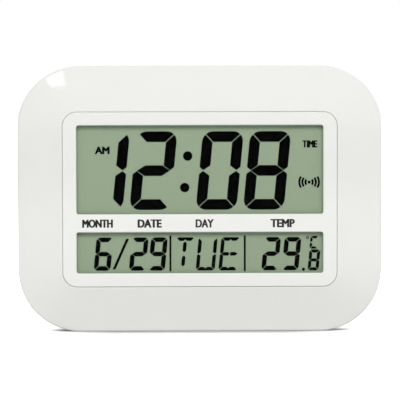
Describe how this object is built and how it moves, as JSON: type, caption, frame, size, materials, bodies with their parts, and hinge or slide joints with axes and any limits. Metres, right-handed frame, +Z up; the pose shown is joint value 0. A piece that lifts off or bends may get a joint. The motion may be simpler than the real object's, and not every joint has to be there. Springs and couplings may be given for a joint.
{
  "type": "digital calendar clock",
  "caption": "Wide digital wall and desk clock with a sloping white border, two display windows, a fold-out foot, back keys and a hanging keyhole.",
  "frame": {"origin": "on the surface the clock stands on, under the middle of the case, halfway through its depth", "axes": "+X to the viewer's right along the width, +Y from the display to the back, +Z up"},
  "size_m": [0.275, 0.028, 0.2006],
  "materials": {
    "white_plastic": "glossy moulded ABS",
    "cover_plastic": "fine texture moulded ABS",
    "clear_acrylic": "clear acrylic sheet",
    "polariser_film": "polarising film",
    "display_glass": "soda-lime glass",
    "lcd_segment": "dark liquid crystal segment",
    "reflector_film": "grey-green reflecting film",
    "black_plastic": "moulded",
    "contact_rubber": "layered conductive rubber",
    "circuit_board": "solder resist",
    "black_resin": "epoxy drop",
    "steel": "plain",
    "aluminium_can": "sleeved can",
    "screw_steel": "zinc plated",
    "cell_wrap": "printed wrap, plain",
    "nickel_plate": "nickel plated",
    "key_plastic": "moulded",
    "plunger_plastic": "moulded",
    "ferrite": "sintered ferrite",
    "copper_wire": "enamelled copper winding",
    "red_insulation": "soft vinyl",
    "black_insulation": "soft vinyl",
    "grey_insulation": "soft vinyl"
  },
  "bodies": {
    "case": {"aerial_coil": "copper_wire", "board_screws": "screw_steel", "capacitors": "aluminium_can", "case_screws": "screw_steel", "contact_strip": "contact_rubber", "controller": "black_resin", "crystal": "steel", "display_lens": "clear_acrylic", "ferrite_rod": "ferrite", "front_frame": "white_plastic", "front_glass": "display_glass", "front_panel": "white_plastic", "front_polariser": "polariser_film", "holder_screws": "screw_steel", "key_board": "circuit_board", "key_board_screws": "screw_steel", "key_ribbon": "grey_insulation", "lcd_holder": "black_plastic", "lcd_segments": "lcd_segment", "link_contact": "nickel_plate", "lower_cell": "cell_wrap", "main_board": "circuit_board", "negative_contact": "nickel_plate", "negative_lead": "black_insulation", "positive_contact": "nickel_plate", "positive_lead": "red_insulation", "rear_cover": "cover_plastic", "rear_glass": "display_glass", "receiver_board": "circuit_board", "receiver_lead": "grey_insulation", "reflector": "reflector_film", "switches": "black_plastic", "thermometer": "steel", "upper_cell": "cell_wrap"},
    "foot": {"foot": "cover_plastic"},
    "battery_door": {"battery_door": "cover_plastic"},
    "key_set": {"key_set": "key_plastic", "plunger_set": "plunger_plastic"},
    "key_plus": {"key_plus": "key_plastic", "plunger_plus": "plunger_plastic"},
    "key_minus": {"key_minus": "key_plastic", "plunger_minus": "plunger_plastic"},
    "key_unit": {"key_unit": "key_plastic", "plunger_unit": "plunger_plastic"},
    "key_wave": {"key_wave": "key_plastic", "plunger_wave": "plunger_plastic"},
    "key_reset": {"key_reset": "key_plastic", "plunger_reset": "plunger_plastic"}
  },
  "joints": [
    {"name": "foot_hinge", "type": "hinge", "parent": "case", "child": "foot", "pos_m": [0, 0.0121, 0.012], "axis": [-1, 0, 0], "range_deg": [0, 90]},
    {"name": "battery_door_hinge", "type": "hinge", "parent": "case", "child": "battery_door", "pos_m": [0, 0.014, 0.0932], "axis": [-1, 0, 0], "range_deg": [0, 95]},
    {"name": "key_set_press", "type": "slide", "parent": "case", "child": "key_set", "axis": [0, -1, 0], "range_m": [0, 0.0005], "stiffness_N_per_m": 1600, "springref_m": -0.0005},
    {"name": "key_plus_press", "type": "slide", "parent": "case", "child": "key_plus", "axis": [0, -1, 0], "range_m": [0, 0.0005], "stiffness_N_per_m": 1600, "springref_m": -0.0005},
    {"name": "key_minus_press", "type": "slide", "parent": "case", "child": "key_minus", "axis": [0, -1, 0], "range_m": [0, 0.0005], "stiffness_N_per_m": 1600, "springref_m": -0.0005},
    {"name": "key_unit_press", "type": "slide", "parent": "case", "child": "key_unit", "axis": [0, -1, 0], "range_m": [0, 0.0005], "stiffness_N_per_m": 1600, "springref_m": -0.0005},
    {"name": "key_wave_press", "type": "slide", "parent": "case", "child": "key_wave", "axis": [0, -1, 0], "range_m": [0, 0.0005], "stiffness_N_per_m": 1600, "springref_m": -0.0005},
    {"name": "key_reset_press", "type": "slide", "parent": "case", "child": "key_reset", "axis": [0, -1, 0], "range_m": [0, 0.0005], "stiffness_N_per_m": 1600, "springref_m": -0.0005}
  ]
}
